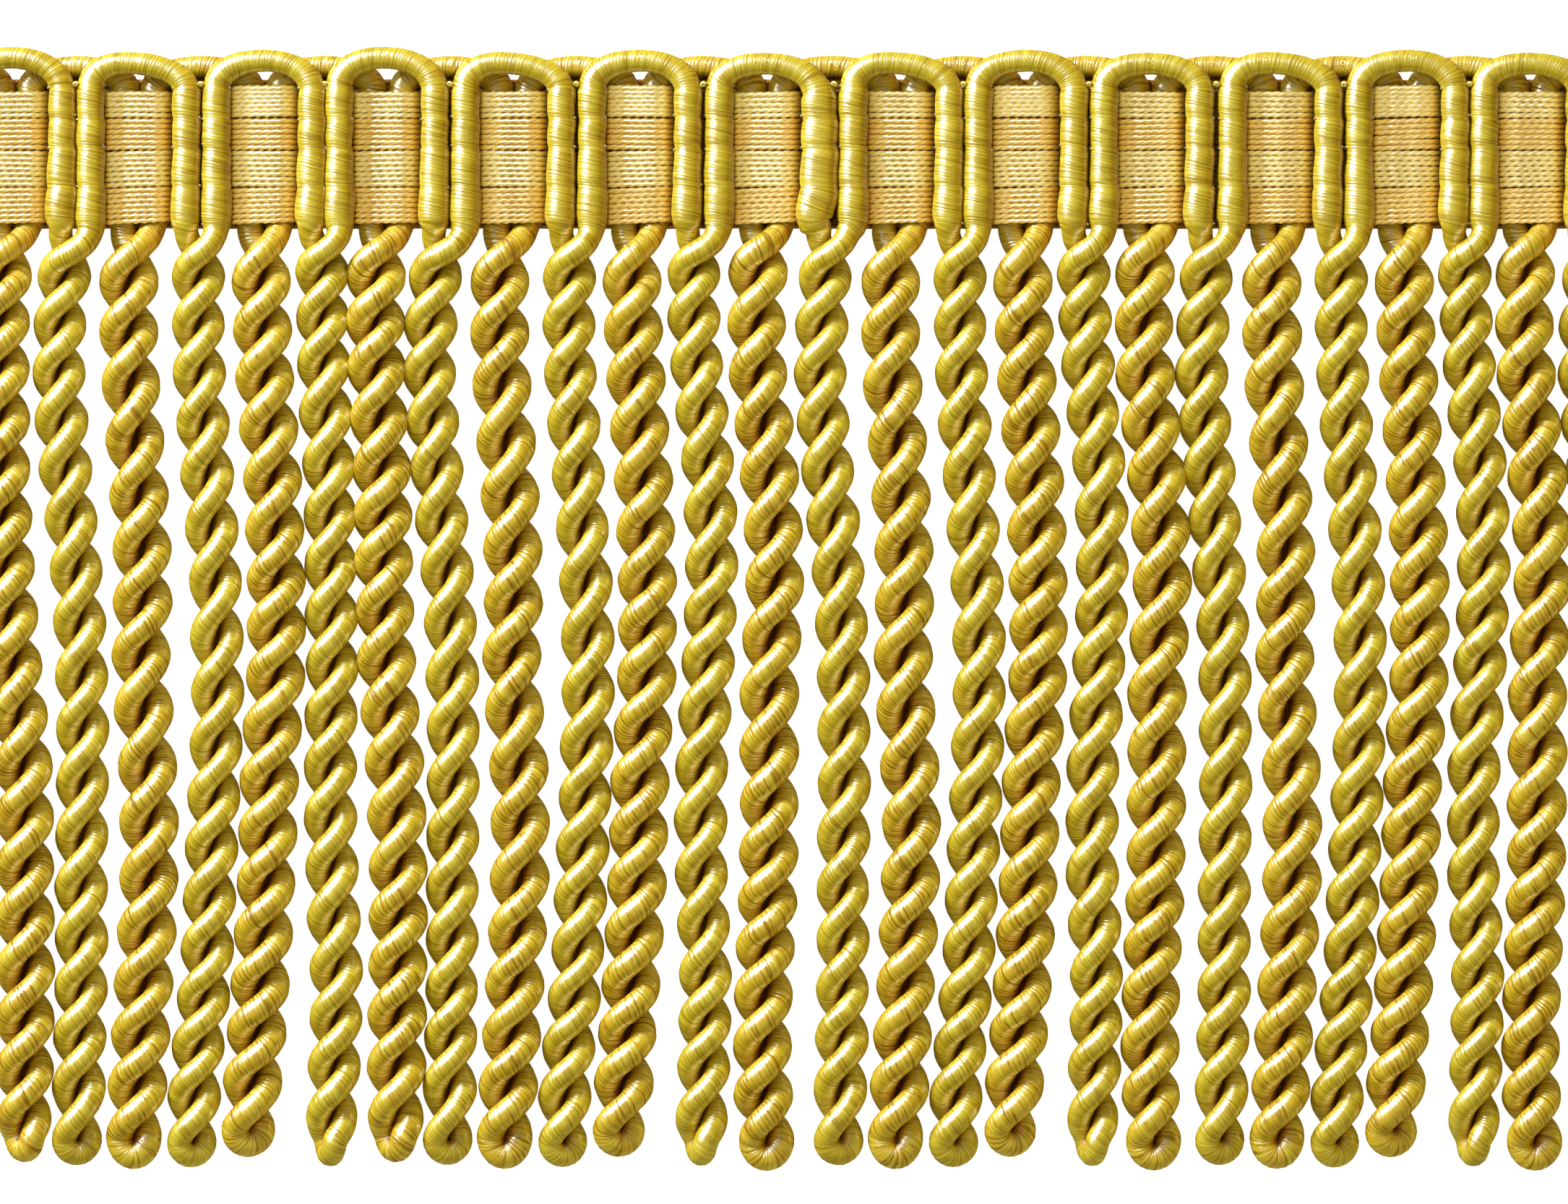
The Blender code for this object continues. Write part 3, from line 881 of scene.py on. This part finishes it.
# THREAD BANDS
bands = {
    "step": 0.24,                # between rings where the thread shows
    "hiddenStep": 1.2,
    "endSteps": 2,               # hidden steps at each end of a thread
    "sides": 8,
    "radius": 0.37,
    "lobe": 0.19,                # how far the two plies stand out, of the radius
    "squash": 0.86,
    "twist": 2.3,                # mm for a full turn
    "highReach": 1.8,            # from a window's middle, where the thread starts to fall away
    "lowReach": 5.7,
    "shownReach": 5.0,
    "highLevel": 4.2,
    "lowLevel": 2.4,
    "knots": (-5.6, -2, 2, 5.6),   # from a window's middle, where a thread's drop is set
    # Painted shade on the threads: darker towards a window's sides, where they go under the legs, in the
    # groove between the plies and underneath
    "rightShade": (2.4, 4.6),
    "leftShade": (3.3, 4.8),
    "plyGap": (0.3, 1.0),        # painted half shade in the groove between the two plies
    "plyGapDepth": 0.5,
    "under": (-0.35, 0.6),
    "tiltSpread": 0.012,
    "tilt": {"creamUpper": 0.008, "creamLower": 0.008, "tanUpper": 0.008, "tanLower": 0.03},
    "wobble": 0.006,
    "hiddenTuck": 0.45,          # how deep a row lies where it doesn't show
    "hiddenDrop": 0.5,
}
# First drop, pitch and count of the rows: the top band differs in three kinds of window
creamUpper = ((6.3, 0.70, 5), (6.25, 0.70, 5), (5.45, 0.585, 7))
bandRows = {
    "tanUpper": (9.85, 0.70, 6),
    "creamLower": (14.15, 0.685, 7),
    "tanLower": (19.05, 0.68, 7),
}


def rowDrops(band):
    # For each row, its drop in each kind of window, and how deep it is tucked away there
    if band != "creamUpper":
        first, pitch, count = bandRows[band]
        return [([first + pitch * index] * 3, [0] * 3) for index in range(count)]
    rows = []
    rowCount = max(count for first, pitch, count in creamUpper)
    for index in range(rowCount):
        drops = []
        tucks = []
        for first, pitch, count in creamUpper:
            shown = index - (rowCount - count)
            drops.append(first + pitch * (shown if shown >= 0 else index + bands["hiddenDrop"]))
            tucks.append(0 if shown >= 0 else bands["hiddenTuck"])
        rows.append((drops, tucks))
    return rows


def threadStations(middles):
    # Close together where the thread shows and wide apart where it doesn't
    shown = bands["shownReach"]
    start = middles[0] - trim["bandEndReach"]
    end = middles[-1] + trim["bandEndReach"]
    endSteps = bands["hiddenStep"] * np.arange(bands["endSteps"] + 1)
    stations = [*(start + endSteps), *(end - endSteps)]
    for middle in middles:
        stations += list(middle + np.arange(-shown, shown + 0.01, bands["step"]))
    for middle, following in zip(middles, middles[1:]):
        gap = following - middle - 2 * shown
        count = max(2, round(gap / bands["hiddenStep"]))
        stations += list(middle + shown + gap * np.arange(1, count) / count)
    return np.array(sorted(stations))


def threadLine(drops, tucks, tilts):
    # One thread along the trim: over the back legs in each window, and behind the front legs between them.
    # The last column is painted shade, darker towards a window's sides.
    middles = np.array([windowMiddle(index) for index in range(trim["archCount"])])
    stations = threadStations(middles)
    nearest = np.abs(stations[:, None] - middles[None, :]).argmin(axis=1)
    offset = stations - middles[nearest]
    knots = [(index, reach) for index in range(len(middles)) for reach in bands["knots"]]
    knotPlaces = [middles[index] + reach for index, reach in knots]
    knotDrops = [drops[index % 3] - tilts[index] * reach for index, reach in knots]
    drop = np.interp(stations, knotPlaces, knotDrops)
    tuck = np.interp(stations, knotPlaces, [tucks[index % 3] for index, reach in knots])
    fall = easeIn(np.abs(offset), bands["highReach"], bands["lowReach"])
    level = bands["highLevel"] + (bands["lowLevel"] - bands["highLevel"]) * fall - tuck * (1 - fall)
    edge = np.where(offset > 0, easeIn(offset, *bands["rightShade"]), easeIn(-offset, *bands["leftShade"]))
    return np.stack([trimMiddle + stations, trimTop - drop, level, edge], axis=1)


def threadTube(line, phase):
    # Two plies, twisted so that they lean as in the photo
    sides = bands["sides"]
    points = line[:, :3]
    marks = line[:, 0] - line[0, 0]
    turn = phase - 2 * math.pi * marks / bands["twist"]
    lobes = np.cos(2 * (ringAngles(sides)[None, :] - turn[:, None]))
    upward = outwardOf(points, upAxis, sides)[:, :, 2]
    ripple = (1 + bands["lobe"] * lobes) * (1 - (1 - bands["squash"]) * np.abs(upward))
    # Painted shade: at the window's sides, in the groove between the plies and underneath
    paintedShade = np.maximum(line[:, 3][:, None], bands["plyGapDepth"] * easeIn(-lobes, *bands["plyGap"]))
    paintedShade = np.maximum(paintedShade, easeIn(-upward, *bands["under"]))
    return tubeMesh(points, np.full(len(line), bands["radius"]), marks, sides, upAxis, ripple, paintedShade)


def makeBands(name, bandNames, material, nodes):
    parts = []
    for band in bandNames:
        tilts = chance.normal(0.0, bands["tiltSpread"], trim["archCount"]) + bands["tilt"][band]
        for drops, tucks in rowDrops(band):
            wobble = chance.normal(0, bands["wobble"], trim["archCount"])
            parts.append(threadTube(threadLine(drops, tucks, tilts + wobble), chance.uniform(0, 6.28)))
    return addPiece(name, parts, material, nodes)


creamPiece = makeBands("cream_threads", ("creamUpper", "creamLower"), creamThread,
                       ("cream_band_upper", "cream_band_lower"))
tanPiece = makeBands("tan_threads", ("tanUpper", "tanLower"), tanThread,
                     ("tan_band_upper", "tan_band_lower"))
print("bands made")


# BINDING THREAD
binding = {
    "sides": 6,
    "runDrops": grip["drops"][1:4],
    "runRadius": 0.24,
    "runLower": 0.1,             # than the grip on the legs
    "runTuck": 0.35,             # below the rows that it runs between
    "runStride": 3,              # every third station of a band's thread
    # The runs between the bands are painted well into shade
    "runHollow": 0.8,
    "knotRadius": 0.24,          # the small coil between two arches
    "knotThread": 0.21,
    "knotTurns": 2,
    "knotSteps": 26,
    "knotRise": 0.12,            # mm for each half turn
    "knotFlat": 0.8,
    "knotUneven": (0.2, 1.7),    # how much and how often its radius changes
    "knotDrop": 5.0,
    "knotLevel": 5.2,
}


def knotPart(middle):
    turn = np.linspace(0, 2 * math.pi * binding["knotTurns"], binding["knotSteps"])
    share, often = binding["knotUneven"]
    wide = binding["knotRadius"] * (1 + share * np.sin(often * turn + chance.uniform(0, 6)))
    line = np.stack([
        trimMiddle + middle + wide * np.cos(turn),
        trimTop - binding["knotDrop"] - wide * np.sin(turn) * binding["knotFlat"],
        binding["knotLevel"] + binding["knotRise"] * turn / math.pi,
    ], axis=1)
    return plainTube(line, binding["knotThread"], turn * binding["knotRadius"], binding["sides"])


def gapMiddle(index):
    return (windowMiddle(index) + windowMiddle(index + 1)) / 2


def makeBinding():
    parts = [knotPart(gapMiddle(index)) for index in range(trim["archCount"] - 1)]
    level = np.zeros(trim["archCount"])
    for drop in binding["runDrops"]:
        line = threadLine([drop + binding["runLower"]] * 3, [binding["runTuck"]] * 3, level)
        line = line[::binding["runStride"], :3]
        # Runs of the binding thread between the bands, painted dark as shade
        parts.append(plainTube(line, binding["runRadius"], line[:, 0] - line[0, 0], binding["sides"], upAxis,
                               binding["runHollow"]))
    return addPiece("binding_thread", parts, paleCord, [])


# STITCHES AT THE SIDES OF THE FRONT LEGS
stitches = {
    "angles": (1.15, 1.75),      # radians from the top of the leg
    "radius": 0.15,
    "outside": 0.06,
    "slant": 0.25,
    "steps": 5,
    "sides": 6,
    "dropSpread": 0.2,
    "leftShare": 0.65,           # so many are on the left side of the leg
}


def stitchPart(leg, drop, side):
    look = cords["front"]
    reach = look["leg"] - grip["pinch"] + stitches["outside"]
    angle = np.linspace(*stitches["angles"], stitches["steps"]) * side
    line = np.stack([
        trimMiddle + leg + reach * np.sin(angle),
        trimTop - drop - stitches["slant"] * (np.abs(angle) - stitches["angles"][0]),
        look["level"] + reach * look["legFlat"] * np.cos(angle),
    ], axis=1)
    return plainTube(line, stitches["radius"], angle * reach, stitches["sides"], (0, 1, 0))


def makeStitches():
    parts = []
    for index in range(trim["archCount"]):
        for side in (-0.5, 0.5):
            leg = windowMiddle(index) + side * trim["legSpread"]
            for drop in grip["drops"]:
                moved = drop + chance.normal(0, stitches["dropSpread"])
                parts.append(stitchPart(leg, moved, -1 if chance.random() < stitches["leftShare"] else 1))
    return addPiece("binding_stitches", parts, creamThread, [])


# DARK RUNS BEHIND THE BANDS, STANDING IN FOR THE SHADE IN THE GAPS
shadeFiller = {
    "sides": 6,
    "radius": 0.42,
    "level": 1.0,
    "endInset": 0.6,
    "top": 4.5,
    "pitch": 0.62,
    "count": 32,
    # How far each kind of run is painted into shade
    "paintedShade": 0.5,
    "fillDrops": (23.9, 24.5),   # short runs between the back legs, under the bands
    "fillReach": 1.6,
    "fillHollow": 0.85,
    "gapDrop": 3.9,              # and right under the back arches
    "gapReach": 2.4,
    "gapHollow": 0.8,
    "spacing": 3,                # mm between stations
    "fewest": 4,
    "wave": (0.06, 0.9, 5),      # height, turn for each mm, and turn from one run to the next
}


def shadeFillerRun(middle, reach, drop, paintedShade):
    # A run of gold cord painted into shade
    start = middle - reach
    end = middle + reach
    height, turn, lag = shadeFiller["wave"]
    along = np.linspace(start, end, max(shadeFiller["fewest"], int((end - start) / shadeFiller["spacing"])))
    line = np.stack([
        trimMiddle + along,
        trimTop - drop + height * np.sin(along * turn + drop * lag),
        np.full(len(along), shadeFiller["level"]),
    ], axis=1)
    return plainTube(line, shadeFiller["radius"], along, shadeFiller["sides"], upAxis, paintedShade)


def makeShadeFiller():
    # They close the gaps beside, between and above the bands, and are painted dark, as the shade that shows
    # there
    parts = []
    reach = trim["archPitch"] * trim["archCount"] / 2 - shadeFiller["endInset"]
    for index in range(shadeFiller["count"]):
        parts.append(shadeFillerRun(0, reach, shadeFiller["top"] + index * shadeFiller["pitch"], shadeFiller["paintedShade"]))
    for index in range(trim["archCount"]):
        for drop in shadeFiller["fillDrops"]:
            parts.append(shadeFillerRun(windowMiddle(index), shadeFiller["fillReach"], drop, shadeFiller["fillHollow"]))
    for index in range(trim["archCount"] - 1):
        middle = gapMiddle(index)
        parts.append(shadeFillerRun(middle, shadeFiller["gapReach"], shadeFiller["gapDrop"], shadeFiller["gapHollow"]))
    return addPiece("shade_filler_runs", parts, goldCord, [])


makeBinding()
makeStitches()
makeShadeFiller()
threadPieces = (creamPiece, tanPiece)
lampReaches(lamps["rakeLamp"], threadPieces, "EXCLUDE")
lampReaches(lamps["shineLamp"], threadPieces, "EXCLUDE")
lampReaches(lamps["bandLamp"], threadPieces, "INCLUDE")
print("binding thread made")

triangles = {}
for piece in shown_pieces():
    piece.data.calc_loop_triangles()
    triangles[piece.name] = len(piece.data.loop_triangles)
print("triangles in all:", sum(triangles.values()), "most:", max(triangles.values()))
